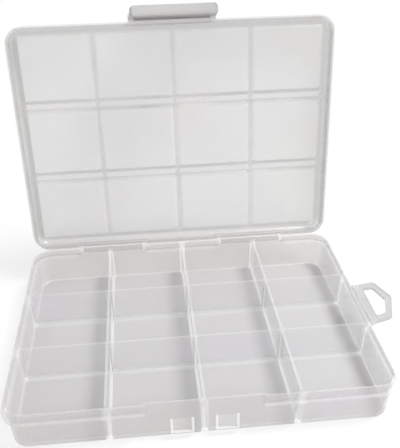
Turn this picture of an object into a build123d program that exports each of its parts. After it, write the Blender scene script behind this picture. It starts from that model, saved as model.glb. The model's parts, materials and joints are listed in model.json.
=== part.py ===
from build123d import *
import os
from math import cos, radians, sin

# Bead storage box: a clear moulded tray with twelve compartments, a hinged lid with a snap
# latch, and a hang tab on the right. Millimetres, +Z up, +Y to the hinge side. The origin is
# the middle of the tray's underside. The lid stands open against its stops.

os.makedirs("parts", exist_ok=True)

# Outline and walls
box_width = 190.0
box_depth = 135.0
corner_radius = 10.5
lower_corner_radius = 8.6
wall = 1.2
edge_round = 0.4

# Tray
tray_height = 24.4
base_round = 1.8
floor_thickness = 2.0
floor_round = 1.0
band_height = 5.8
band_step = 1.1
flange_reach = 1.7
flange_thickness = 1.0
ledge_height = 3.0
ledge_drop = 0.2

# Dividers: long ones run front to back, cross ones stand between them
columns = 4
rows = 3
divider_thickness = 1.3
divider_drop = 0.8
divider_clearance = 0.1
divider_end_gap = 0.2
slot_rib_width = 1.0
slot_rib_reach = 1.5
cross_rib_width = 0.7
cross_rib_reach = 0.6
cross_rib_drop = 2.0

# Lid
lid_gap = 0.15
lid_depth = 8.5
lid_edge_radius = 4.5
lid_open_angle = 102.0
lip_depth = 1.6
lip_thickness = 0.8
lip_clearance = 0.3
pad_height = 0.8
pad_slope = 1.4
pad_channel_x = 2.4
pad_channel_y = 4.4
pad_margin_x = 2.3
pad_margin_y = 3.1
pad_corner = 1.0

# Lid hinges: a bar across each notch in the tray's band, and a long clip on the lid for each bar
hinge_spacing = 90.0
hinge_width = 42.3
hinge_standoff = 0.3
hinge_drop = 0.8
hinge_side_gap = 0.3
hinge_notch_height = 3.0
hinge_bar_radius = 0.7
hinge_lug_radius = 1.4
hinge_lug_thickness = 1.8
clip_radius = 1.3
clip_side_gap = 0.4
clip_mouth = 1.2
clip_arm_depth = 1.2
heel_reach = 2.2
heel_rise = 0.7
running_clearance = 0.05
stop_clearance = 0.1

# Latch: a flap on a bar along the lid's front edge, over two keepers on the tray
latch_width = 50.0
latch_tip_width = 46.8
latch_recess_width = 56.6
latch_thickness = 1.6
latch_standoff = 2.4
latch_rise = 2.4
latch_offset = 1.4
latch_rest_angle = 7.6
latch_foot_gap = 0.8
latch_bar_radius = 1.2
latch_knuckle_radius = 2.0
latch_web_width = 3.0
latch_land_reach = 0.7
latch_land_height = 0.8
latch_side_gap = 0.25
hook_height = 2.8
hook_wall_gap = 0.6
finger_lip_reach = 2.4
finger_lip_height = 3.0
lip_end_corner = 1.6
lip_chamfer = 1.3
hook_chamfer = 0.8
chamfer_overrun = 0.5
keeper_width = 11.6
keeper_spacing = 22.0
keeper_height = 9.0
keeper_reach = 1.9
keeper_land = 2.4
keeper_cheek = 1.1
keeper_hollow = 0.8
keeper_gap = 0.6

# Hang tab, turned on two pins in ears on the right of the band
tab_centre_y = -5.7
tab_length = 32.4
tab_shoulder_length = 30.4
tab_shoulder_reach = 11.4
tab_reach = 16.6
tab_frame = 4.0
tab_shoulder_frame = 2.0
tab_thickness = 2.0
tab_corner = 3.0
tab_hole_corner = 1.2
tab_standoff = 1.6
tab_drop = 1.6
tab_tilt = 13.0
tab_barrel_radius = 1.2
tab_pin_radius = 0.7
tab_ear_radius = 1.6
tab_ear_thickness = 1.3
tab_ear_gap = 0.3
tab_heel_length = 14.0
tab_heel_height = 0.9
tab_flange_gap = 1.0

# Levels and outlines that follow from the sizes above
floor_top = floor_thickness
band_bottom = tray_height - band_height
ledge_bottom = band_bottom - ledge_drop
ledge_top = ledge_bottom + ledge_height
lid_level = tray_height + lid_gap
divider_top = tray_height - divider_drop
lower_width = box_width - 2 * band_step
lower_depth = box_depth - 2 * band_step
inner_width = lower_width - 2 * wall
inner_depth = lower_depth - 2 * wall
inner_radius = lower_corner_radius - wall
rim_inner_width = box_width - 2 * wall
rim_inner_depth = box_depth - 2 * wall
rim_inner_radius = corner_radius - wall
column_pitch = (inner_width + divider_thickness) / columns
row_pitch = (inner_depth + divider_thickness) / rows
long_divider_x = [(i + 1 - columns / 2) * column_pitch for i in range(columns - 1)]
cross_divider_y = [(j + 1 - rows / 2) * row_pitch for j in range(rows - 1)]
cross_plate_x = [(i + 0.5 - columns / 2) * column_pitch for i in range(columns)]

# Hinge line, latch line and tab line, and the planes of the pieces that turn on them
hinge_y = box_depth / 2 + hinge_standoff
hinge_z = tray_height - hinge_drop
hinge_x = [-hinge_spacing / 2, hinge_spacing / 2]
latch_y = -box_depth / 2 - latch_standoff
tab_x = box_width / 2 + tab_standoff
tab_z = tray_height - tab_drop


def swung_plane(origin, angle):
    """Plane of a piece that is level when the box is shut, swung open about +X."""
    lean = radians(angle)
    return Plane(origin=origin, x_dir=(1, 0, 0), z_dir=(0, sin(lean), cos(lean)))


def side_plane(frame, x):
    """Plane across a swung piece at x: its own X is the piece's depth, its own Y the height."""
    return Plane(origin=frame.from_local_coords((x, 0, 0)), x_dir=frame.y_dir, z_dir=(1, 0, 0))


hinge_frame = swung_plane((0, hinge_y, hinge_z), lid_open_angle)
lid_frame = swung_plane(hinge_frame.from_local_coords((0, -hinge_y, lid_level - hinge_z)), lid_open_angle)
latch_line = lid_frame.from_local_coords((0, latch_y, latch_rise))
latch_frame = swung_plane(latch_line, lid_open_angle + latch_rest_angle)
tab_frame_plane = Plane(
    origin=(tab_x, tab_centre_y, tab_z),
    x_dir=(cos(radians(tab_tilt)), 0, sin(radians(tab_tilt))),
    z_dir=(-sin(radians(tab_tilt)), 0, cos(radians(tab_tilt))),
)


def rounded_slab(plane, width, depth, radius, height, mode=Mode.ADD):
    """Slab with rounded corners, from a plane upwards."""
    with BuildSketch(plane) as outline:
        RectangleRounded(width, depth, radius)
    extrude(outline.sketch, amount=height, mode=mode)


def block(plane, x_range, y_range, height, mode=Mode.ADD):
    """Square block on a plane, from one corner to the other."""
    with BuildSketch(plane) as outline:
        with Locations(((x_range[0] + x_range[1]) / 2, (y_range[0] + y_range[1]) / 2)):
            Rectangle(abs(x_range[1] - x_range[0]), abs(y_range[1] - y_range[0]))
    extrude(outline.sketch, amount=height, mode=mode)


def profile_bar(plane, points, length, mode=Mode.ADD):
    """Bar with a straight-sided section, from a plane along its normal."""
    with BuildSketch(plane) as profile:
        with BuildLine():
            Polyline(*points, close=True)
        make_face()
    extrude(profile.sketch, amount=length, mode=mode)


def round_bar(plane, centre, radius, length, mode=Mode.ADD):
    """Round bar from a plane along its normal."""
    with BuildSketch(plane) as section:
        with Locations(centre):
            Circle(radius)
    extrude(section.sketch, amount=length, mode=mode)


def notched_outline(plane, width, depth, radius, notches, height, mode=Mode.ADD):
    """Slab with rounded corners and square notches, given as (x centre, width, y inner, y outer)."""
    with BuildSketch(plane) as outline:
        RectangleRounded(width, depth, radius)
        for x_centre, notch_width, y_inner, y_outer in notches:
            with Locations((x_centre, (y_inner + y_outer) / 2)):
                Rectangle(notch_width, abs(y_outer - y_inner), mode=Mode.SUBTRACT)
    extrude(outline.sketch, amount=height, mode=mode)


def at_level(shapes, plane, level):
    """Shapes whose centre lies at a height above a plane."""
    tolerance = 0.01
    return shapes.filter_by(lambda s: abs(plane.to_local_coords(s.center()).Z - level) < tolerance)


# Notches in the band: one for each hinge at the back, one for the latch at the front. The wall
# runs on behind each notch, so the inside outline steps in there too.
notch_depths = (lower_depth / 2, box_depth / 2 + 2 * flange_reach)
hinge_notches = [(x, hinge_width, *notch_depths) for x in hinge_x]
lid_notches = [(x, hinge_width + 2 * hinge_side_gap, *notch_depths) for x in hinge_x]
latch_notch = (0, latch_recess_width, -notch_depths[0], -notch_depths[1])
band_notches = hinge_notches + [latch_notch]


def behind(notches):
    """The same notches seen from inside the wall that runs behind them."""
    return [
        (x, width + 2 * wall, inner - wall * (1 if inner > 0 else -1), outer)
        for x, width, inner, outer in notches
    ]


# Hollow inside the rim: a sloping ledge from the compartment walls out to the band, and the
# space over it
with BuildPart() as rim_hollow:
    with BuildSketch(Plane.XY.offset(ledge_bottom)):
        RectangleRounded(inner_width, inner_depth, inner_radius)
    with BuildSketch(Plane.XY.offset(ledge_top)):
        RectangleRounded(rim_inner_width, rim_inner_depth, rim_inner_radius)
    loft()
    ledge_plane = Plane.XY.offset(ledge_top)
    rounded_slab(ledge_plane, rim_inner_width, rim_inner_depth, rim_inner_radius, band_height)
    hollow_height = ledge_height + band_height
    for x_centre, notch_width, y_inner, y_outer in behind(band_notches):
        notch_x = (x_centre - notch_width / 2, x_centre + notch_width / 2)
        block(Plane.XY.offset(ledge_bottom), notch_x, (y_inner, y_outer), hollow_height, Mode.SUBTRACT)


# Tray
with BuildPart() as tray:
    rounded_slab(Plane.XY, lower_width, lower_depth, lower_corner_radius, band_bottom)
    fillet(tray.edges().group_by(Axis.Z)[0], base_round)
    band_plane = Plane.XY.offset(band_bottom)
    notched_outline(band_plane, box_width, box_depth, corner_radius, band_notches, band_height)

    # Flange round the foot of the band, left out behind the hang tab too
    tab_notch_reach = tab_length / 2 + tab_ear_gap + tab_ear_thickness + tab_flange_gap
    tab_notch = (
        box_width / 2 + flange_reach,
        2 * flange_reach,
        tab_centre_y - tab_notch_reach,
        tab_centre_y + tab_notch_reach,
    )
    notched_outline(
        band_plane,
        box_width + 2 * flange_reach,
        box_depth + 2 * flange_reach,
        corner_radius + flange_reach,
        band_notches + [tab_notch],
        flange_thickness,
    )

    # Compartment space, and the hollow inside the rim
    floor_plane = Plane.XY.offset(floor_top)
    rounded_slab(floor_plane, inner_width, inner_depth, inner_radius, tray_height, Mode.SUBTRACT)
    fillet(at_level(tray.edges(), Plane.XY, floor_top), floor_round)
    add(rim_hollow.part, mode=Mode.SUBTRACT)
    fillet(at_level(tray.edges(), Plane.XY, tray_height), edge_round)

    # Slots for the long dividers, between two ribs on the front wall and two on the back wall
    slot_half = divider_thickness / 2 + divider_clearance
    for x in long_divider_x:
        for side in (-1, 1):
            wall_y = side * (inner_depth / 2 + wall / 2)
            rib_y = side * (inner_depth / 2 - slot_rib_reach)
            for rib_side in (-1, 1):
                rib_x = (x + rib_side * slot_half, x + rib_side * (slot_half + slot_rib_width))
                block(floor_plane, rib_x, (wall_y, rib_y), ledge_bottom - floor_top)

    # Slots for the outer cross dividers, between two small ribs on each side wall
    for y in cross_divider_y:
        for side in (-1, 1):
            wall_x = side * (inner_width / 2 + wall / 2)
            rib_x = side * (inner_width / 2 - cross_rib_reach)
            for rib_side in (-1, 1):
                rib_y = (y + rib_side * slot_half, y + rib_side * (slot_half + cross_rib_width))
                block(floor_plane, (wall_x, rib_x), rib_y, ledge_bottom - floor_top)

    # Keepers for the latch: ramps with a square underside, hollowed between two cheeks and a sill
    keeper_bottom = latch_foot_gap + hook_height + keeper_gap
    keeper_face = -lower_depth / 2
    ramp_foot = keeper_bottom + keeper_land
    ramp_top = keeper_bottom + keeper_height
    hollow_width = keeper_width - 2 * keeper_cheek
    hollow_face = keeper_face - keeper_reach + keeper_hollow
    for x in (-keeper_spacing / 2, keeper_spacing / 2):
        profile_bar(
            Plane.YZ.offset(x - keeper_width / 2),
            [
                (keeper_face + wall / 2, keeper_bottom),
                (keeper_face - keeper_reach, keeper_bottom),
                (keeper_face - keeper_reach, ramp_foot),
                (keeper_face, ramp_top),
                (keeper_face + wall / 2, ramp_top),
            ],
            keeper_width,
        )
        profile_bar(
            Plane.YZ.offset(x - hollow_width / 2),
            [
                (hollow_face, keeper_bottom + keeper_cheek),
                (keeper_face - 2 * keeper_reach, keeper_bottom + keeper_cheek),
                (keeper_face - 2 * keeper_reach, ramp_top),
                (keeper_face, ramp_top),
                (hollow_face, ramp_foot),
            ],
            hollow_width,
            Mode.SUBTRACT,
        )

    # Hinge lugs and bars
    lug_slope = hinge_lug_radius * sin(radians(45))
    lug_foot = hinge_z - lug_slope - (hinge_y + lug_slope - lower_depth / 2)
    for x in hinge_x:
        for lug_x in (x - hinge_width / 2, x + hinge_width / 2 - hinge_lug_thickness):
            lug_plane = Plane.YZ.offset(lug_x)
            round_bar(lug_plane, (hinge_y, hinge_z), hinge_lug_radius, hinge_lug_thickness)
            profile_bar(
                lug_plane,
                [
                    (lower_depth / 2 - wall / 2, tray_height),
                    (hinge_y, tray_height),
                    (hinge_y + lug_slope, hinge_z - lug_slope),
                    (lower_depth / 2 - wall / 2, lug_foot),
                ],
                hinge_lug_thickness,
            )
        round_bar(Plane.YZ.offset(x - hinge_width / 2), (hinge_y, hinge_z), hinge_bar_radius, hinge_width)

    # Ears for the hang tab's pins
    ear_inner = tab_length / 2 + tab_ear_gap
    for ear_y in (tab_centre_y + ear_inner + tab_ear_thickness, tab_centre_y - ear_inner):
        ear_plane = Plane.XZ.offset(-ear_y)
        round_bar(ear_plane, (tab_x, tab_z), tab_ear_radius, tab_ear_thickness)
        profile_bar(
            ear_plane,
            [
                (box_width / 2 - wall / 2, tab_z + tab_drop - edge_round),
                (tab_x, tab_z + tab_drop - edge_round),
                (tab_x, tab_z - tab_ear_radius),
                (box_width / 2 - wall / 2, tab_z - tab_ear_radius),
            ],
            tab_ear_thickness,
        )
        pin_hole_radius = tab_pin_radius + running_clearance
        round_bar(ear_plane, (tab_x, tab_z), pin_hole_radius, tab_ear_thickness, Mode.SUBTRACT)

tray.part.label = "tray"
export_step(tray.part, "parts/tray.step")

# Long dividers, with small ribs that hold the cross dividers
long_divider_length = inner_depth - 2 * divider_end_gap
divider_height = divider_top - floor_top
for number, x in enumerate(long_divider_x, start=1):
    with BuildPart() as long_divider:
        half = divider_thickness / 2
        end = long_divider_length / 2
        profile_bar(
            Plane.YZ.offset(x - half),
            [
                (-end, floor_top + floor_round),
                (-end + floor_round, floor_top),
                (end - floor_round, floor_top),
                (end, floor_top + floor_round),
                (end, divider_top),
                (-end, divider_top),
            ],
            divider_thickness,
        )
        for y in cross_divider_y:
            for side in (-1, 1):
                for rib_side in (-1, 1):
                    rib_y = (y + rib_side * slot_half, y + rib_side * (slot_half + cross_rib_width))
                    rib_x = (x, x + side * (half + cross_rib_reach))
                    block(Plane.XY.offset(floor_top), rib_x, rib_y, divider_height - cross_rib_drop)
    long_divider.part.label = f"long_divider_{number}"
    export_step(long_divider.part, f"parts/long_divider_{number}.step")

# Cross dividers
cross_divider_length = column_pitch - divider_thickness - 2 * divider_end_gap
number = 0
for y in cross_divider_y:
    for x in cross_plate_x:
        number += 1
        with BuildPart() as cross_divider:
            half = divider_thickness / 2
            end = cross_divider_length / 2
            profile_bar(
                Plane.XZ.offset(-y - half),
                [
                    (x - end, floor_top + floor_round),
                    (x - end + floor_round, floor_top),
                    (x + end - floor_round, floor_top),
                    (x + end, floor_top + floor_round),
                    (x + end, divider_top),
                    (x - end, divider_top),
                ],
                divider_thickness,
            )
        cross_divider.part.label = f"cross_divider_{number}"
        export_step(cross_divider.part, f"parts/cross_divider_{number}.step")


def ruled_pad(plane, centre, width, depth, mode):
    """Low pad with sloping sides: its root lies on the plane, and its face a pad's height below."""
    with BuildSketch(plane) as root:
        with Locations(centre):
            RectangleRounded(width, depth, pad_corner + pad_slope)
    with BuildSketch(plane.offset(-pad_height)) as face:
        with Locations(centre):
            RectangleRounded(width - 2 * pad_slope, depth - 2 * pad_slope, pad_corner)
    loft(sections=[root.sketch, face.sketch], ruled=True, mode=mode)


# Lid
lid_height = lid_depth + wall
clip_width = hinge_width - 2 * hinge_lug_thickness - 2 * clip_side_gap
web_x = [-latch_width / 2 + latch_web_width / 2, latch_width / 2 - latch_web_width / 2]
pad_half_x = inner_width / 2 - pad_margin_x
pad_half_y = inner_depth / 2 - pad_margin_y
channel_x_edges = [x + side * pad_channel_x / 2 for x in long_divider_x for side in (-1, 1)]
channel_y_edges = [y + side * pad_channel_y / 2 for y in cross_divider_y for side in (-1, 1)]
pad_x_ends = [-pad_half_x] + channel_x_edges + [pad_half_x]
pad_y_ends = [-pad_half_y] + channel_y_edges + [pad_half_y]
with BuildPart() as lid:
    # Shell, stepped in over each hinge
    rounded_slab(lid_frame, box_width, box_depth, corner_radius, lid_height)
    rounded_slab(lid_frame, rim_inner_width, rim_inner_depth, rim_inner_radius, lid_depth, Mode.SUBTRACT)
    fillet(at_level(lid.edges(), lid_frame, lid_depth), lid_edge_radius - wall)
    fillet(at_level(lid.edges(), lid_frame, lid_height), lid_edge_radius)
    for x_centre, notch_width, y_inner, y_outer in behind(lid_notches):
        notch_x = (x_centre - notch_width / 2, x_centre + notch_width / 2)
        block(lid_frame, notch_x, (y_inner, rim_inner_depth / 2 + wall / 2), hinge_notch_height + wall)
    for x_centre, notch_width, y_inner, y_outer in lid_notches:
        notch_x = (x_centre - notch_width / 2, x_centre + notch_width / 2)
        block(lid_frame, notch_x, (y_inner, y_outer), hinge_notch_height, Mode.SUBTRACT)

    # Pads over the compartments, pressed in from outside, with a channel over every divider
    for x_start, x_stop in zip(pad_x_ends[::2], pad_x_ends[1::2]):
        for y_start, y_stop in zip(pad_y_ends[::2], pad_y_ends[1::2]):
            pad_centre = ((x_start + x_stop) / 2, (y_start + y_stop) / 2)
            pad_size = (x_stop - x_start, y_stop - y_start)
            ruled_pad(lid_frame.offset(lid_depth), pad_centre, *pad_size, Mode.ADD)
            ruled_pad(lid_frame.offset(lid_height), pad_centre, *pad_size, Mode.SUBTRACT)

    # Lip that drops inside the tray's rim, left out where the wall steps in
    lip_width = rim_inner_width - 2 * lip_clearance
    lip_length = rim_inner_depth - 2 * lip_clearance
    lip_radius = rim_inner_radius - lip_clearance
    with BuildSketch(lid_frame.offset(-lip_depth)) as lip:
        RectangleRounded(lip_width, lip_length, lip_radius)
        RectangleRounded(
            lip_width - 2 * lip_thickness,
            lip_length - 2 * lip_thickness,
            lip_radius - lip_thickness,
            mode=Mode.SUBTRACT,
        )
        for x_centre, notch_width, y_inner, y_outer in behind(band_notches):
            gap_width = notch_width + 2 * lip_thickness
            gap_depth = abs(y_outer - y_inner) + 2 * lip_thickness
            with Locations((x_centre, (y_inner + y_outer) / 2)):
                Rectangle(gap_width, gap_depth, mode=Mode.SUBTRACT)
    extrude(lip.sketch, amount=lip_depth + wall)
    with BuildSketch(lid_frame) as seat:
        RectangleRounded(
            rim_inner_width + wall / 2,
            rim_inner_depth + wall / 2,
            rim_inner_radius + wall / 4,
        )
        RectangleRounded(
            lip_width - 2 * lip_thickness,
            lip_length - 2 * lip_thickness,
            lip_radius - lip_thickness,
            mode=Mode.SUBTRACT,
        )
        for x_centre, notch_width, y_inner, y_outer in behind(lid_notches):
            gap_depth = abs(y_outer - y_inner) + 2 * lip_thickness
            with Locations((x_centre, (y_inner + y_outer) / 2)):
                Rectangle(notch_width, gap_depth, mode=Mode.SUBTRACT)
    extrude(seat.sketch, amount=wall)

    # Clips for the hinge bars, open downwards when the lid is shut, each on an arm from the wall
    arm_inner = lower_depth / 2 - wall / 2 - hinge_y
    arm_bottom = lid_level - hinge_z
    arm_top = arm_bottom + clip_arm_depth
    for x in hinge_x:
        clip_plane = side_plane(hinge_frame, x - clip_width / 2)
        round_bar(clip_plane, (0, 0), clip_radius, clip_width)
        profile_bar(
            clip_plane,
            [
                (arm_inner, arm_bottom),
                (clip_radius, arm_bottom),
                (clip_radius, arm_top),
                (arm_inner, arm_top),
            ],
            clip_width,
        )
        heel_plane = Plane.YZ.offset(x - clip_width / 2)
        stop_y = lower_depth / 2 + stop_clearance
        profile_bar(
            heel_plane,
            [
                (stop_y, hinge_z - heel_rise),
                (stop_y, hinge_z - heel_reach),
                (hinge_y, hinge_z - clip_radius),
                (hinge_y, hinge_z - heel_rise),
            ],
            clip_width,
        )
        round_bar(clip_plane, (0, 0), hinge_bar_radius + running_clearance, clip_width, Mode.SUBTRACT)
        profile_bar(
            clip_plane,
            [
                (-clip_mouth / 2, 0),
                (clip_mouth / 2, 0),
                (clip_mouth / 2, -2 * clip_radius),
                (-clip_mouth / 2, -2 * clip_radius),
            ],
            clip_width,
            Mode.SUBTRACT,
        )

    # Webs and bar that carry the latch, and a low land along the rim between the webs
    land_face = -box_depth / 2 - latch_land_reach
    profile_bar(
        side_plane(lid_frame, -latch_width / 2),
        [
            (-box_depth / 2 + wall / 2, 0),
            (land_face, 0),
            (land_face, latch_land_height),
            (-box_depth / 2 + wall / 2, latch_land_height),
        ],
        latch_width,
    )
    for x in web_x:
        web_plane = side_plane(lid_frame, x - latch_web_width / 2)
        round_bar(web_plane, (latch_y, latch_rise), latch_knuckle_radius, latch_web_width)
        profile_bar(
            web_plane,
            [
                (latch_y, latch_rise - latch_knuckle_radius),
                (-box_depth / 2 + wall / 2, latch_rise - latch_knuckle_radius),
                (-box_depth / 2 + wall / 2, latch_rise + latch_knuckle_radius),
                (latch_y, latch_rise + latch_knuckle_radius),
            ],
            latch_web_width,
        )
    round_bar(side_plane(lid_frame, -latch_width / 2), (latch_y, latch_rise), latch_bar_radius, latch_width)

lid.part.label = "lid"
export_step(lid.part, "parts/lid.step")

# Latch, in its own frame: it hangs straight down when the box is shut and latched
latch_tip = -(lid_level + latch_rise - latch_foot_gap)
latch_root = -latch_knuckle_radius - latch_side_gap
hook_face = latch_standoff + band_step - hook_wall_gap
flap_inner = latch_offset
flap_outer = latch_offset - latch_thickness
with BuildPart() as latch:
    with BuildSketch(side_plane(latch_frame, -latch_width / 2)) as section:
        with BuildLine():
            Polyline(
                (flap_outer, latch_root),
                (flap_inner, latch_root),
                (flap_inner, latch_tip + hook_height),
                (hook_face, latch_tip + hook_height),
                (hook_face, latch_tip),
                (flap_outer - finger_lip_reach, latch_tip),
                (flap_outer - finger_lip_reach, latch_tip + latch_thickness),
                (flap_outer, latch_tip + finger_lip_height + latch_thickness),
                close=True,
            )
        make_face()
        fillet(section.vertices().sort_by(Axis.X)[-2:], edge_round)
    extrude(section.sketch, amount=latch_width)
    front_plane = Plane(latch_frame.origin, x_dir=(1, 0, 0), z_dir=latch_frame.y_dir)
    with BuildSketch(front_plane.offset(-latch_width)) as front:
        with BuildLine():
            Polyline(
                (-latch_width / 2, -latch_root),
                (latch_width / 2, -latch_root),
                (latch_tip_width / 2, -latch_tip),
                (-latch_tip_width / 2, -latch_tip),
                close=True,
            )
        make_face()
        fillet(front.vertices().group_by(Axis.Y)[-1], lip_end_corner)
    extrude(front.sketch, amount=2 * latch_width, mode=Mode.INTERSECT)

    # Chamfers at both ends of the finger lip and of the hook
    end_x = latch_tip_width / 2
    lip_face = flap_outer - finger_lip_reach
    with BuildSketch(Plane(latch_frame.origin, x_dir=(1, 0, 0), z_dir=-latch_frame.z_dir)) as ends:
        for side in (-1, 1):
            for face, inward, chamfer_size in ((-lip_face, -1, lip_chamfer), (-hook_face, 1, hook_chamfer)):
                outer_x = side * (end_x + chamfer_overrun)
                with BuildLine():
                    Polyline(
                        (side * (end_x - chamfer_size), face),
                        (outer_x, face),
                        (outer_x, face + inward * (chamfer_size + chamfer_overrun)),
                        close=True,
                    )
                make_face()
    extrude(ends.sketch, amount=2 * latch_width, mode=Mode.SUBTRACT)

    # Knuckle between the webs
    knuckle_half = latch_width / 2 - latch_web_width - latch_side_gap
    knuckle_plane = side_plane(latch_frame, -knuckle_half)
    round_bar(knuckle_plane, (0, 0), latch_knuckle_radius, 2 * knuckle_half)
    profile_bar(
        knuckle_plane,
        [(flap_outer, 0), (flap_inner, 0), (flap_inner, latch_root), (flap_outer, latch_root)],
        2 * knuckle_half,
    )
    round_bar(knuckle_plane, (0, 0), latch_bar_radius + running_clearance, 2 * knuckle_half, Mode.SUBTRACT)

latch.part.label = "latch"
export_step(latch.part, "parts/latch.step")

# Hang tab
with BuildPart() as hang_tab:
    with BuildSketch(tab_frame_plane.offset(-tab_thickness / 2)) as loop:
        with BuildLine():
            Polyline(
                (0, -tab_length / 2),
                (tab_shoulder_reach, -tab_shoulder_length / 2),
                (tab_reach, 0),
                (tab_shoulder_reach, tab_shoulder_length / 2),
                (0, tab_length / 2),
                close=True,
            )
        make_face()
        fillet(loop.vertices().filter_by(lambda v: v.X > tab_corner), tab_corner)
    extrude(loop.sketch, amount=tab_thickness)
    with BuildSketch(tab_frame_plane.offset(-tab_thickness / 2)) as hole:
        hole_half = tab_length / 2 - tab_frame
        hole_shoulder_half = tab_shoulder_length / 2 - tab_frame
        hole_shoulder_reach = tab_shoulder_reach - tab_shoulder_frame
        with BuildLine():
            Polyline(
                (tab_frame, -hole_half),
                (hole_shoulder_reach, -hole_shoulder_half),
                (tab_reach - tab_frame, 0),
                (hole_shoulder_reach, hole_shoulder_half),
                (tab_frame, hole_half),
                close=True,
            )
        make_face()
        fillet(hole.vertices(), tab_hole_corner)
    extrude(hole.sketch, amount=tab_thickness, mode=Mode.SUBTRACT)

    # Barrel, pins and the heel that stops the tab against the band
    barrel_plane = Plane.XZ.offset(-(tab_centre_y + tab_length / 2))
    round_bar(barrel_plane, (tab_x, tab_z), tab_barrel_radius, tab_length)
    pin_reach = tab_ear_gap + tab_ear_thickness
    pin_plane = Plane.XZ.offset(-(tab_centre_y + tab_length / 2 + pin_reach))
    round_bar(pin_plane, (tab_x, tab_z), tab_pin_radius, tab_length + 2 * pin_reach)
    block(
        Plane.XY.offset(tab_z),
        (box_width / 2 + stop_clearance, tab_x),
        (tab_centre_y - tab_heel_length / 2, tab_centre_y + tab_heel_length / 2),
        tab_heel_height,
    )

hang_tab.part.label = "hang_tab"
export_step(hang_tab.part, "parts/hang_tab.step")

print("hinge line", hinge_y, hinge_z)
print("latch line", latch_line)
print("tab line", tab_x, tab_centre_y, tab_z)
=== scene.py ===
"""The bead storage box as photographed: clear milky plastic on a white floor."""
import json
import math

import bpy
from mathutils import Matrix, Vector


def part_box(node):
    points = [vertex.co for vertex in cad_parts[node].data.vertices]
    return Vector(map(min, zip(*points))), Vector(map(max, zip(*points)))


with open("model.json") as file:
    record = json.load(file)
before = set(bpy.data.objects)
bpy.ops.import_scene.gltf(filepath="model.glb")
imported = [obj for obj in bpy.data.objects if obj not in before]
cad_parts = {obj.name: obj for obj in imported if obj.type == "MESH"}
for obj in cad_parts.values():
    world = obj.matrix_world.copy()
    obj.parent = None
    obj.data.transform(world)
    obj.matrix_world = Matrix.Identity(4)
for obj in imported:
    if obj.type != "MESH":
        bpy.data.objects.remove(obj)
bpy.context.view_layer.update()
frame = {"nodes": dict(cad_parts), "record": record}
nodes = frame["nodes"]

MM = 0.001

# The photograph's frame in pixels, and the camera fitted to it in metres and degrees
IMAGE_WIDTH = 400
IMAGE_HEIGHT = 448
FOCAL_PX = 582.73
CENTRE_PX = (189.39, 257.54)
SENSOR_MM = 36.0
CAMERA_PLACE = (-0.02052, -0.24988, 0.23665)
CAMERA_TURN = (54.711, 0.961, -5.233)
CLIP_NEAR = 0.01
CLIP_FAR = 20.0

# Lamps, sky and floor, in metres and watts
LAMP_AIM = (0, 0, 0.05)
KEY_PLACE = (0.5, 0.02, 1.05)
KEY_SIZE = 0.3
KEY_POWER = 10.5
FILL_PLACE = (-0.2, -0.95, 0.75)
FILL_SIZE = 0.8
FILL_POWER = 4.3
SKY_LEVEL = 0.41
FLOOR_HALF = 3.0
FLOOR_SUNK = 0.05 * MM
FLOOR_TONE = (0.9, 0.9, 0.9, 1)
FLOOR_ROUGHNESS = 0.9
FLOOR_GLOSS = 0.1
SHADOW_REACH = (0.12, 0.26)
SHADOW_GLOW = 0.67

# Each plastic: its tone, its density seen face on and edge on, and the scale of its clouds
PLASTICS = {
    "tray_plastic": ((0.71, 0.692, 0.695), 0.29, 0.52, 18.0),
    "divider_plastic": ((0.97, 0.97, 0.995), 0.16, 0.22, 22.0),
    "lid_plastic": ((0.63, 0.618, 0.606), 0.32, 0.56, 14.0),
    "latch_plastic": ((0.47, 0.46, 0.455), 0.7, 0.82, 26.0),
    "tab_plastic": ((0.6, 0.59, 0.59), 0.52, 0.8, 26.0),
}

# Tone and density of each place that differs from its plastic; the near-white light tone is a
# painted highlight where light leaves an edge, and some other places hold painted shade or painted
# light
LIGHT = (0.95, 0.95, 0.945)
PLACES = {
    "tray back": ((0.69, 0.642, 0.622), 0.345),
    "denser floor with painted shade": ((0.535, 0.522, 0.526), 0.65),
    "painted light from the right": ((0.84, 0.84, 0.81), 0.3),
    "shade by dividers": ((0.5, 0.488, 0.5), 0.62),
    "shade by wall": ((0.54, 0.52, 0.52), 0.64),
    "painted light under dividers": (LIGHT, 0.12),
    "rim": (LIGHT, 0.22),
    "flange highlight": (LIGHT, 0.22),
    "end rib highlights": (LIGHT, 0.22),
    "side rib highlights": (LIGHT, 0.25),
    "keeper hollow": ((0.86, 0.86, 0.84), 0.35),
    "keeper cheek and sill highlights": (LIGHT, 0.75),
    "tab ears": ((0.8, 0.79, 0.79), 0.1),
    "hinge clips": ((0.7, 0.685, 0.68), 0.28),
    "divider top highlights": (LIGHT, 0.16),
    "long divider top highlights": (LIGHT, 0.3),
    "long divider end highlights": (LIGHT, 0.3),
    "divider join highlights": (LIGHT, 0.3),
    "painted light on long divider faces": (LIGHT, 0.3),
    "divider foot highlights": (LIGHT, 0.66),
    "long divider foot highlights": (LIGHT, 0.42),
    "divider undersides": (LIGHT, 0.02),
    "lid slopes": ((0.64, 0.632, 0.622), 0.33),
    "upright channel painted shade": ((0.57, 0.56, 0.55), 0.46),
    "level channel painted shade": ((0.54, 0.53, 0.52), 0.5),
    "lid skirt painted shade": ((0.54, 0.53, 0.52), 0.46),
    "lid border painted shade": ((0.56, 0.55, 0.54), 0.44),
    "left border painted shade": ((0.52, 0.515, 0.5), 0.52),
    "lid seat": ((0.6, 0.59, 0.58), 0.42),
    "lid outermost highlight": (LIGHT, 0.45),
    "lid by latch": ((0.66, 0.645, 0.64), 0.55),
    "latch top painted shade": ((0.42, 0.41, 0.405), 0.76),
    "latch underside painted light": ((0.58, 0.57, 0.565), 0.58),
    "tab pins": ((0.7, 0.69, 0.69), 0.12),
}

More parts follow.
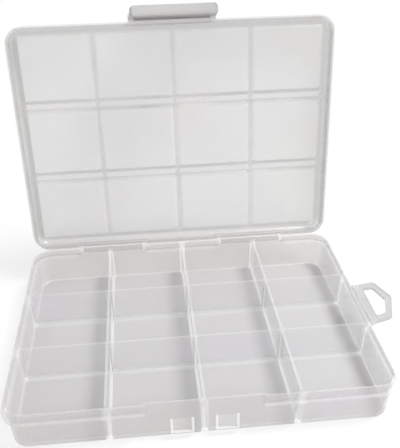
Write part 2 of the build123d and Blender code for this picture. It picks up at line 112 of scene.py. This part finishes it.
# Clouds, grain and ripple of every plastic, and its gloss
WARM = (0.975, 0.943, 0.932)
COOL = (0.965, 0.965, 1.01)
GREENISH = (0.98, 0.978, 0.958)
CLOUD_SPAN = (0.3, 0.7)
CLOUD_DENSITY = (1.08, 0.94)
DRIFT_SCALE = 0.6
DRIFT_SHIFT = (0.31, 0.17, 0.23)
DRIFT_SPAN = (0.52, 0.68)
FACING_SPAN = (0.1, 0.95)
GRAIN_SCALE = 90.0
ROUGHNESS = (0.16, 0.26)
RIPPLE_SCALE = 35.0
RIPPLE_STRENGTH = 0.15
RIPPLE_DEPTH = 0.0004
REFRACTION = 1.6
SPECULAR = 0.8

# Masks are in millimetres: how soft their edges are, and how far they reach past a face
SOFT = 0.3
CRISP = 0.2
FINE = 0.05
SKIN = 0.4
MARGIN = 1.0

# How far a face looks up, as an edge and its softness
LOOKING_UP = (0.825, 0.125)
SLOPED = (0.92, 0.06)
DIVIDER_UNDERSIDE = (-0.7, 0.2)
LATCH_UNDERSIDE = (-0.4, 0.2)

# Sizes of the box in millimetres
BOX_DEPTH = 135.0
RIM_TOP = 24.4
BAND_STEP = 1.1
BAND_HEIGHT = 5.8
WALL = 1.2
FLANGE_THICKNESS = 1.0
PLATE_THICKNESS = 1.3
HINGE_SPAN = (23.8, 66.2)
HINGE_SOFT = 0.8
LID_HINGE_DROP = 0.95
KEEPER_SPACING = 22.0
KEEPER_WIDTH = 11.6
KEEPER_CHEEK = 1.1
KEEPER_BOTTOM = 4.2
KEEPER_HEIGHT = 9.0
PAD_MARGIN = 2.3
PAD_END = 62.6
PAD_LEVEL = 7.9
LID_TOP = 12.0
TAB_PIN = 1.6

# Bands on the tray in millimetres: where they lie, half widths and softness
TRAY_BACK = 63.5
TRAY_BACK_SOFT = 1.5
# Painted light towards the right: from and to in millimetres, and its share
PAINTED_LIGHT_RIGHTWARD = (10.0, 90.0, 0.0, 0.12)
# Painted highlight on the rim, fading from the front towards the back
RIM_HIGHLIGHT_FADE = (54.0, 64.0, 1.0, 0.1)
SHADE_OFFSETS = (8.2, 5.6, 5.2)
SHADE_HALF = 2.0
SHADE_SOFT = 2.2
WALL_SHADE_OFFSET = 4.5
WALL_SHADE_HALF = 2.5
WALL_SHADE_SOFT = 3.0
UNDER_LONG_HALF = 0.9
UNDER_CROSS_HALF = 1.0
END_RIB_REACH = 1.4
END_RIB_HALF = 1.8
SIDE_RIB_REACH = 1.3
SIDE_RIB_HALF = 1.7
KEEPER_DROP = 0.5
SILL_SOFT = 0.15
TRAY_HINGE_RADIUS = 2.2
EAR_WIDTH = 3.0

# Bands on the dividers in millimetres
PLATE_SKIN = 0.1
PLATE_END = 0.5
JOIN_REACH = 1.7
WALL_JOIN_REACH = 1.1
JOIN_HALF = 1.6
FOOT_HEIGHT = 1.2

# Bands on the lid in millimetres, and the patches that break up its channels
PATCH_SCALE = 28.0
PATCH_SPAN = (0.35, 0.65, 0.6, 1.0)
UPRIGHT_HALF = 1.0
UPRIGHT_SOFT = 1.3
LEVEL_SPAN = (1.7, 3.5)
LEVEL_SOFT = 0.9
SKIRT_REACH = 1.7
SKIRT_SPAN = (0.8, 9.0)
PAD_SIDE_INSET = 0.5
PAD_SIDE_SOFT = 1.0
PAD_END_INSET = 0.65
PAD_END_SOFT = 1.15
SEAT_SPAN = (-3.0, 0.6)
OUTERMOST_REACH = 0.65
OUTERMOST_SOFT = 0.15
LID_HINGE_RADIUS = 2.6
LATCH_SIDE_REACH = 1.3


def box_mm(name):
    """The low and high corner of a piece, in millimetres."""
    return [[value / MM for value in corner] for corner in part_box(name)]


# Places of the pieces in millimetres, from the frame
dividers = [box_mm("long_divider_%d" % n) for n in (1, 2, 3)]
divider_lines = [(low[0] + high[0]) / 2 for low, high in dividers]
cross_lines = [sum(corner[1] for corner in box_mm("cross_divider_%d" % n)) / 2 for n in (1, 5)]
floor_top = dividers[0][0][2]
divider_end, divider_top = dividers[0][1][1:]
half_width = box_mm("lid")[1][0]
half_depth = BOX_DEPTH / 2
side_wall = half_width - BAND_STEP - WALL
front_face = half_depth - BAND_STEP
flange_top = RIM_TOP - BAND_HEIGHT + FLANGE_THICKNESS
pad_reach = side_wall - PAD_MARGIN
latch_half = box_mm("latch")[1][0]
tab_low, tab_high = [corner[1] for corner in box_mm("hang_tab")]
tab_middle = (tab_low + tab_high) / 2
tab_end = (tab_high - tab_low) / 2 - TAB_PIN

# The open lid's own directions: away from its rim, and across from its latch to its hinge
joints = {joint["name"]: joint for joint in frame["record"]["behaviour"]["joints"]}
lid_hinge = joints["lid_hinge"]
hinge_y, hinge_z = [value / MM for value in lid_hinge["pos_m"][1:]]
lid_swing = math.radians(lid_hinge["range_deg"][1])
lid_up = (0, math.sin(lid_swing), math.cos(lid_swing))
lid_across = (0, math.cos(lid_swing), -math.sin(lid_swing))
lid_level = lid_up[1] * hinge_y + lid_up[2] * hinge_z + LID_HINGE_DROP
lid_middle = lid_across[1] * hinge_y + lid_across[2] * hinge_z - hinge_y

camera_data = bpy.data.cameras.new("camera")
camera_data.sensor_fit = "HORIZONTAL"
camera_data.sensor_width = SENSOR_MM
camera_data.lens = FOCAL_PX / IMAGE_WIDTH * SENSOR_MM
camera_data.shift_x = (IMAGE_WIDTH / 2 - CENTRE_PX[0]) / IMAGE_WIDTH
camera_data.shift_y = (CENTRE_PX[1] - IMAGE_HEIGHT / 2) / IMAGE_WIDTH
camera_data.clip_start = CLIP_NEAR
camera_data.clip_end = CLIP_FAR
camera = bpy.data.objects.new("camera", camera_data)
camera.location = CAMERA_PLACE
camera.rotation_mode = "XYZ"
camera.rotation_euler = [math.radians(angle) for angle in CAMERA_TURN]
bpy.context.collection.objects.link(camera)
bpy.context.scene.camera = camera
bpy.context.scene.view_settings.view_transform = "Standard"


def put(tree, socket, value):
    """Link an output to a socket, or set the socket to a plain value."""
    if hasattr(value, "is_linked"):
        tree.links.new(value, socket)
    else:
        socket.default_value = value


def mapped(tree, source, start, stop, low=0.0, high=1.0):
    """A value taken from one range to another, with soft ends."""
    made = tree.nodes.new("ShaderNodeMapRange")
    made.interpolation_type = "SMOOTHSTEP"
    put(tree, made.inputs["Value"], source)
    put(tree, made.inputs["From Min"], start)
    put(tree, made.inputs["From Max"], stop)
    put(tree, made.inputs["To Min"], low)
    put(tree, made.inputs["To Max"], high)
    return made.outputs["Result"]


def along(tree, source, direction, unit=1.0):
    """How far a vector reaches along a direction, in a unit of length."""
    made = tree.nodes.new("ShaderNodeVectorMath")
    made.operation = "DOT_PRODUCT"
    put(tree, made.inputs[0], source)
    put(tree, made.inputs[1], [part / unit for part in direction])
    return made.outputs["Value"]


def maths(tree, operation, first, second=0.0):
    """One step of arithmetic on a value."""
    made = tree.nodes.new("ShaderNodeMath")
    made.operation = operation
    put(tree, made.inputs[0], first)
    put(tree, made.inputs[1], second)
    return made.outputs[0]


def noise(tree, place, scale, detail, roughness=0.5):
    """Cloudy values over a piece."""
    made = tree.nodes.new("ShaderNodeTexNoise")
    put(tree, made.inputs["Vector"], place)
    put(tree, made.inputs["Scale"], scale)
    put(tree, made.inputs["Detail"], detail)
    put(tree, made.inputs["Roughness"], roughness)
    return made.outputs["Fac"]


def mixed(tree, data_type, mask, first, second):
    """First value or colour where the mask is 0, second where it is 1."""
    made = tree.nodes.new("ShaderNodeMix")
    made.data_type = data_type
    kind = "RGBA" if data_type == "RGBA" else "VALUE"
    ends = [socket for socket in made.inputs if socket.type == kind and socket.name in ("A", "B")]
    put(tree, made.inputs["Factor"], mask)
    put(tree, ends[0], first)
    put(tree, ends[1], second)
    return [socket for socket in made.outputs if socket.type == kind][0]


def tinted(tone, tint):
    """A tone times a tint, as a colour."""
    return [part * share for part, share in zip(tone, tint)] + [1.0]


class Plastic:
    """Milky see-through moulded plastic, with masks in millimetres for the places on a piece."""

    def __init__(self, name, up=(0, 0, 1), base_level=0.0):
        """Coordinates for the masks, and the plastic's even looks."""
        self.material = bpy.data.materials.new(name)
        self.material.use_nodes = True
        self.tree = tree = self.material.node_tree
        self.shader = tree.nodes["Principled BSDF"]
        coordinates = tree.nodes.new("ShaderNodeTexCoord")
        self.place = place = coordinates.outputs["Object"]
        axes = ((1, 0, 0), (0, 1, 0), (0, 0, 1))
        self.x, self.y, self.z = [along(tree, place, axis, MM) for axis in axes]
        self.level = maths(tree, "SUBTRACT", along(tree, place, up, MM), base_level)
        self.facing_up = along(tree, coordinates.outputs["Normal"], up)
        self.looking_up = self.past(self.facing_up, *LOOKING_UP)

        tone, density, edge_density, cloud_scale = PLASTICS[name]
        cloud = noise(tree, place, cloud_scale, detail=3.0, roughness=0.55)
        haze = mapped(tree, cloud, *CLOUD_SPAN)
        clouded = mixed(tree, "RGBA", haze, tinted(tone, WARM), tinted(tone, COOL))
        shifted = tree.nodes.new("ShaderNodeVectorMath")
        put(tree, shifted.inputs[0], place)
        put(tree, shifted.inputs[1], DRIFT_SHIFT)
        drift = noise(tree, shifted.outputs["Vector"], cloud_scale * DRIFT_SCALE, detail=1.0)
        green = mapped(tree, drift, *DRIFT_SPAN)
        self.colour = mixed(tree, "RGBA", green, clouded, tinted(tone, GREENISH))

        facing = tree.nodes.new("ShaderNodeLayerWeight").outputs["Facing"]
        grazing = mapped(tree, facing, *FACING_SPAN, density, edge_density)
        thickness = mapped(tree, cloud, *CLOUD_SPAN, *CLOUD_DENSITY)
        self.density = maths(tree, "MULTIPLY", grazing, thickness)

        grain = noise(tree, place, GRAIN_SCALE, detail=4.0, roughness=0.6)
        put(tree, self.shader.inputs["Roughness"], mapped(tree, grain, *CLOUD_SPAN, *ROUGHNESS))
        bump = tree.nodes.new("ShaderNodeBump")
        put(tree, bump.inputs["Strength"], RIPPLE_STRENGTH)
        put(tree, bump.inputs["Distance"], RIPPLE_DEPTH)
        put(tree, bump.inputs["Height"], noise(tree, place, RIPPLE_SCALE, detail=2.0))
        put(tree, self.shader.inputs["Normal"], bump.outputs["Normal"])
        put(tree, self.shader.inputs["IOR"], REFRACTION)
        put(tree, self.shader.inputs["Specular IOR Level"], SPECULAR)

    def off(self, source, centre=0.0):
        """How far a value is from a centre, either way."""
        return maths(self.tree, "ABSOLUTE", maths(self.tree, "SUBTRACT", source, centre))

    def past(self, source, edge, soft=SOFT):
        """Mask of what lies past an edge."""
        return mapped(self.tree, source, edge - soft, edge + soft)

    def before(self, source, edge, soft=SOFT):
        """Mask of what lies before an edge."""
        return mapped(self.tree, source, edge - soft, edge + soft, 1.0, 0.0)

    def between(self, source, low, high, soft=SOFT):
        """Mask of the stretch between two edges."""
        return self.both(self.past(source, low, soft), self.before(source, high, soft))

    def lines(self, source, centres, half, soft=SOFT):
        """Mask of a band along each of several lines, so far to either side."""
        return self.either(*[self.between(source, at - half, at + half, soft) for at in centres])

    def both(self, *masks):
        """Mask of what lies in all the masks."""
        joined = masks[0]
        for mask in masks[1:]:
            joined = maths(self.tree, "MULTIPLY", joined, mask)
        return joined

    def either(self, *masks):
        """Mask of what lies in any of the masks."""
        joined = masks[0]
        for mask in masks[1:]:
            joined = maths(self.tree, "MAXIMUM", joined, mask)
        return joined

    def near_hinges(self, radius):
        """Mask round the two stretches of the hinge line."""
        across = maths(self.tree, "SUBTRACT", self.y, hinge_y)
        above = maths(self.tree, "SUBTRACT", self.z, hinge_z)
        squares = [maths(self.tree, "POWER", step, 2.0) for step in (across, above)]
        far = maths(self.tree, "SQRT", maths(self.tree, "ADD", *squares))
        span = self.between(self.off(self.x), *HINGE_SPAN)
        return self.both(self.before(far, radius, HINGE_SOFT), span)

    def accent(self, place, *masks):
        """A place's own tone and density where all the masks say."""
        tone, density = PLACES[place]
        mask = self.both(*masks)
        self.colour = mixed(self.tree, "RGBA", mask, self.colour, list(tone) + [1.0])
        self.density = mixed(self.tree, "FLOAT", mask, self.density, density)

    def finished(self):
        """The material, with its last colour and density joined to the shader."""
        put(self.tree, self.shader.inputs["Base Color"], self.colour)
        put(self.tree, self.shader.inputs["Alpha"], self.density)
        return self.material


def tray_finish():
    """The tray: clouded walls, a denser floor darkened with painted shade, painted light towards
    the right, and painted highlights on its rim, slot ribs, keepers and under the dividers.
    """
    plastic = Plastic("tray_plastic")
    x, y, level = plastic.x, plastic.y, plastic.level
    off_x = plastic.off(x)

    plastic.accent("tray back", plastic.past(y, TRAY_BACK, TRAY_BACK_SOFT))
    # The floor is denser, and darker with painted shade standing in for the shadow under the box
    floor = plastic.both(plastic.between(level, -MARGIN, floor_top + SKIN), plastic.looking_up)
    plastic.accent("denser floor with painted shade", floor)
    # Painted light: the tray grows lighter towards the right, the side of the key lamp
    plastic.accent("painted light from the right", mapped(plastic.tree, x, *PAINTED_LIGHT_RIGHTWARD))

    # Shaded bands on the floor, left of each long divider and of the right wall
    centres = [line - offset for line, offset in zip(divider_lines, SHADE_OFFSETS)]
    plastic.accent("shade by dividers", floor, plastic.lines(x, centres, SHADE_HALF, SHADE_SOFT))
    by_wall = plastic.lines(x, [side_wall - WALL_SHADE_OFFSET], WALL_SHADE_HALF, WALL_SHADE_SOFT)
    plastic.accent("shade by wall", floor, by_wall)
    # Painted highlight: light lines on the floor under the dividers' feet
    under_long = plastic.lines(x, divider_lines, UNDER_LONG_HALF)
    under_cross = plastic.lines(y, cross_lines, UNDER_CROSS_HALF)
    plastic.accent("painted light under dividers", floor, plastic.either(under_long, under_cross))

    # Painted highlights on the rim, fading towards the back, on the flange and on the slot ribs
    rim = plastic.between(level, divider_top, RIM_TOP + MARGIN)
    plastic.accent("rim", rim, plastic.looking_up, mapped(plastic.tree, y, *RIM_HIGHLIGHT_FADE))
    plastic.accent("flange highlight", plastic.lines(level, [flange_top], SKIN), plastic.looking_up)
    at_ends = plastic.past(plastic.off(y), divider_end - END_RIB_REACH, CRISP)
    plastic.accent("end rib highlights", at_ends, plastic.lines(x, divider_lines, END_RIB_HALF))
    at_sides = plastic.past(off_x, side_wall - SIDE_RIB_REACH)
    plastic.accent("side rib highlights", at_sides, plastic.lines(y, cross_lines, SIDE_RIB_HALF))

    # Keepers: painted highlights on the cheeks and sill round a clearer hollow
    off_keeper = plastic.off(off_x, KEEPER_SPACING / 2)
    keeper_half = KEEPER_WIDTH / 2
    keeper_low = KEEPER_BOTTOM - KEEPER_DROP
    within = plastic.before(off_keeper, keeper_half + SOFT, CRISP)
    ahead = plastic.before(y, -front_face - 2 * FINE, FINE)
    keeper = plastic.both(ahead, plastic.between(level, keeper_low, KEEPER_BOTTOM + KEEPER_HEIGHT))
    cheeks = plastic.between(off_keeper, keeper_half - KEEPER_CHEEK - CRISP, keeper_half + CRISP)
    sill = plastic.between(level, keeper_low, KEEPER_BOTTOM + KEEPER_CHEEK, SILL_SOFT)
    painted_highlight = plastic.either(cheeks, plastic.both(sill, within))
    plastic.accent("keeper hollow", keeper, within)
    plastic.accent("keeper cheek and sill highlights", keeper, painted_highlight)

    plastic.accent("hinge clips", plastic.near_hinges(TRAY_HINGE_RADIUS))
    outside = plastic.past(x, half_width + SKIN, CRISP)
    beside_tab = plastic.between(plastic.off(y, tab_middle), tab_end, tab_end + EAR_WIDTH)
    plastic.accent("tab ears", outside, beside_tab)
    return plastic.finished()


def divider_finish():
    """The dividers: clearer plates, with painted highlights along their edges and feet and where
    they meet, and painted light on the long plates' faces.
    """
    plastic = Plastic("divider_plastic")
    level = plastic.level
    off_plates = [plastic.off(plastic.x, line) for line in divider_lines]
    half_plate = PLATE_THICKNESS / 2 + PLATE_SKIN
    long_plates = plastic.either(*[plastic.before(off, half_plate, FINE) for off in off_plates])

    # Painted highlights on the tops and on the long plates' ends
    top = plastic.between(level, divider_top - CRISP, divider_top + MARGIN)
    plastic.accent("divider top highlights", top, plastic.looking_up)
    plastic.accent("long divider top highlights", top, plastic.looking_up, long_plates)
    at_ends = plastic.past(plastic.off(plastic.y), divider_end - PLATE_END, PLATE_END)
    plastic.accent("long divider end highlights", at_ends)

    # Painted highlights where the plates meet each other and the walls
    joins = [plastic.between(off, half_plate, JOIN_REACH, PLATE_SKIN) for off in off_plates]
    joins.append(plastic.past(plastic.off(plastic.x), side_wall - WALL_JOIN_REACH))
    near_cross = plastic.lines(plastic.y, cross_lines, JOIN_HALF)
    plastic.accent("divider join highlights", near_cross, plastic.either(*joins))
    # Painted light on the long plates' faces
    faces = plastic.between(level, floor_top, RIM_TOP - MARGIN)
    plastic.accent("painted light on long divider faces", long_plates, faces)

    # Painted highlights along the feet
    foot = plastic.between(level, floor_top - MARGIN, floor_top + FOOT_HEIGHT)
    plastic.accent("divider foot highlights", foot)
    plastic.accent("long divider foot highlights", foot, long_plates)
    underside = plastic.before(plastic.facing_up, *DIVIDER_UNDERSIDE)
    plastic.accent("divider undersides", underside)
    return plastic.finished()


def lid_finish():
    """The lid: clear pads, denser on the slopes, with painted shade in the channels, on the skirt
    and in its rounded border, and a painted highlight along its outermost line.
    """
    plastic = Plastic("lid_plastic", lid_up, lid_level)
    tree, x, level = plastic.tree, plastic.x, plastic.level
    off_x = plastic.off(x)
    depth = maths(tree, "SUBTRACT", along(tree, plastic.place, lid_across, MM), lid_middle)
    off_depth = plastic.off(depth)

    plastic.accent("lid slopes", plastic.before(plastic.off(plastic.facing_up), *SLOPED))
    # Painted shade: the channels are darker and denser, in uneven patches
    uneven = mapped(tree, noise(tree, plastic.place, PATCH_SCALE, detail=1.0), *PATCH_SPAN)
    upright = plastic.lines(x, divider_lines, UPRIGHT_HALF, UPRIGHT_SOFT)
    plastic.accent("upright channel painted shade", upright, uneven)
    sides = [plastic.between(plastic.off(depth, y), *LEVEL_SPAN, LEVEL_SOFT) for y in cross_lines]
    plastic.accent("level channel painted shade", plastic.either(*sides), uneven)

    # Painted shade on the skirt round the lid's sides and ends
    at_sides = plastic.past(off_x, half_width - SKIRT_REACH)
    at_ends = plastic.past(off_depth, half_depth - SKIRT_REACH)
    skirt = plastic.between(level, *SKIRT_SPAN)
    plastic.accent("lid skirt painted shade", plastic.either(at_sides, at_ends), skirt)

    # Painted shade on the border round the raised pads, darker and denser along the left, the side
    # away from the key lamp
    raised = plastic.between(level, PAD_LEVEL, LID_TOP)
    by_sides = plastic.past(off_x, pad_reach - PAD_SIDE_INSET, PAD_SIDE_SOFT)
    by_ends = plastic.past(off_depth, PAD_END - PAD_END_INSET, PAD_END_SOFT)
    plastic.accent("lid border painted shade", raised, plastic.either(by_sides, by_ends))
    left = plastic.before(x, PAD_SIDE_INSET - pad_reach, PAD_SIDE_SOFT)
    plastic.accent("left border painted shade", raised, left)

    # The seat of the lid on the rim, with a painted highlight along its outermost line
    edge, soft = LOOKING_UP
    looking_down = plastic.before(plastic.facing_up, -edge, soft)
    seat = plastic.both(plastic.between(level, *SEAT_SPAN), looking_down)
    plastic.accent("lid seat", seat)
    side_line = plastic.past(off_x, half_width - OUTERMOST_REACH, OUTERMOST_SOFT)
    end_line = plastic.past(off_depth, half_depth - OUTERMOST_REACH, OUTERMOST_SOFT)
    plastic.accent("lid outermost highlight", seat, plastic.either(side_line, end_line))

    plastic.accent("hinge clips", plastic.near_hinges(LID_HINGE_RADIUS))
    ahead = plastic.before(depth, LATCH_SIDE_REACH - half_depth, CRISP)
    within = plastic.before(off_x, latch_half + CRISP, CRISP)
    plastic.accent("lid by latch", ahead, within)
    return plastic.finished()


def latch_finish():
    """The latch: denser than the lid, with painted shade where it looks up and painted light on
    its underside.
    """
    plastic = Plastic("latch_plastic")
    plastic.accent("latch top painted shade", plastic.looking_up)
    plastic.accent("latch underside painted light", plastic.before(plastic.facing_up, *LATCH_UNDERSIDE))
    return plastic.finished()


def tab_finish():
    """The hang tab: dense in its loop, clearer at its pins."""
    plastic = Plastic("tab_plastic")
    off_tab = plastic.off(plastic.y, tab_middle)
    plastic.accent("tab pins", plastic.past(off_tab, tab_end - CRISP, CRISP))
    return plastic.finished()


finishes = {
    "tray_plastic": tray_finish(),
    "divider_plastic": divider_finish(),
    "lid_plastic": lid_finish(),
    "latch_plastic": latch_finish(),
    "tab_plastic": tab_finish(),
}
slots = {entry["node"]: entry["material_slot"] for entry in frame["record"]["subparts"]}
for name, obj in nodes.items():
    for slot in obj.material_slots:
        slot.material = finishes[slots[name]]


def floor_finish():
    """A white floor that keeps the box's shadow close by and is plain white further off."""
    material = bpy.data.materials.new("floor")
    material.use_nodes = True
    tree = material.node_tree
    base = tree.nodes["Principled BSDF"]
    put(tree, base.inputs["Base Color"], FLOOR_TONE)
    put(tree, base.inputs["Roughness"], FLOOR_ROUGHNESS)
    put(tree, base.inputs["Specular IOR Level"], FLOOR_GLOSS)
    glow = tree.nodes.new("ShaderNodeEmission")
    rays = tree.nodes.new("ShaderNodeLightPath")
    seen = maths(tree, "MAXIMUM", rays.outputs["Is Camera Ray"], rays.outputs["Is Glossy Ray"])
    reach = tree.nodes.new("ShaderNodeVectorMath")
    reach.operation = "LENGTH"
    put(tree, reach.inputs[0], tree.nodes.new("ShaderNodeTexCoord").outputs["Object"])
    share = mapped(tree, reach.outputs["Value"], *SHADOW_REACH, SHADOW_GLOW, 1.0)
    mix = tree.nodes.new("ShaderNodeMixShader")
    put(tree, mix.inputs["Fac"], maths(tree, "MULTIPLY", seen, share))
    put(tree, mix.inputs[1], base.outputs["BSDF"])
    put(tree, mix.inputs[2], glow.outputs["Emission"])
    put(tree, tree.nodes["Material Output"].inputs["Surface"], mix.outputs["Shader"])
    return material


# The floor lies a touch under the box, so that they don't share a plane
floor_mesh = bpy.data.meshes.new("floor")
turns = ((-1, -1), (1, -1), (1, 1), (-1, 1))
corners = [(x * FLOOR_HALF, y * FLOOR_HALF, -FLOOR_SUNK) for x, y in turns]
floor_mesh.from_pydata(corners, [], [(0, 1, 2, 3)])
floor_mesh.materials.append(floor_finish())
floor = bpy.data.objects.new("floor", floor_mesh)
bpy.context.collection.objects.link(floor)

# The sky is plain white to the camera and lights the box at a lower level
world = bpy.data.worlds.new("world")
bpy.context.scene.world = world
world.use_nodes = True
sky_tree = world.node_tree
sky = sky_tree.nodes["Background"]
sight = sky_tree.nodes.new("ShaderNodeLightPath").outputs["Is Camera Ray"]
put(sky_tree, sky.inputs["Color"], (1, 1, 1, 1))
put(sky_tree, sky.inputs["Strength"], mapped(sky_tree, sight, 0.0, 1.0, SKY_LEVEL, 1.0))


def area_light(name, place, size, power):
    """A soft square lamp at a place, turned to the box."""
    data = bpy.data.lights.new(name, "AREA")
    data.shape = "SQUARE"
    data.size = size
    data.energy = power
    lamp = bpy.data.objects.new(name, data)
    lamp.location = place
    x, y, z = [a - b for a, b in zip(place, LAMP_AIM)]
    lamp.rotation_euler = (math.atan2(math.hypot(x, y), z), 0, math.atan2(x, -y))
    bpy.context.collection.objects.link(lamp)


area_light("key", KEY_PLACE, KEY_SIZE, KEY_POWER)
area_light("fill", FILL_PLACE, FILL_SIZE, FILL_POWER)
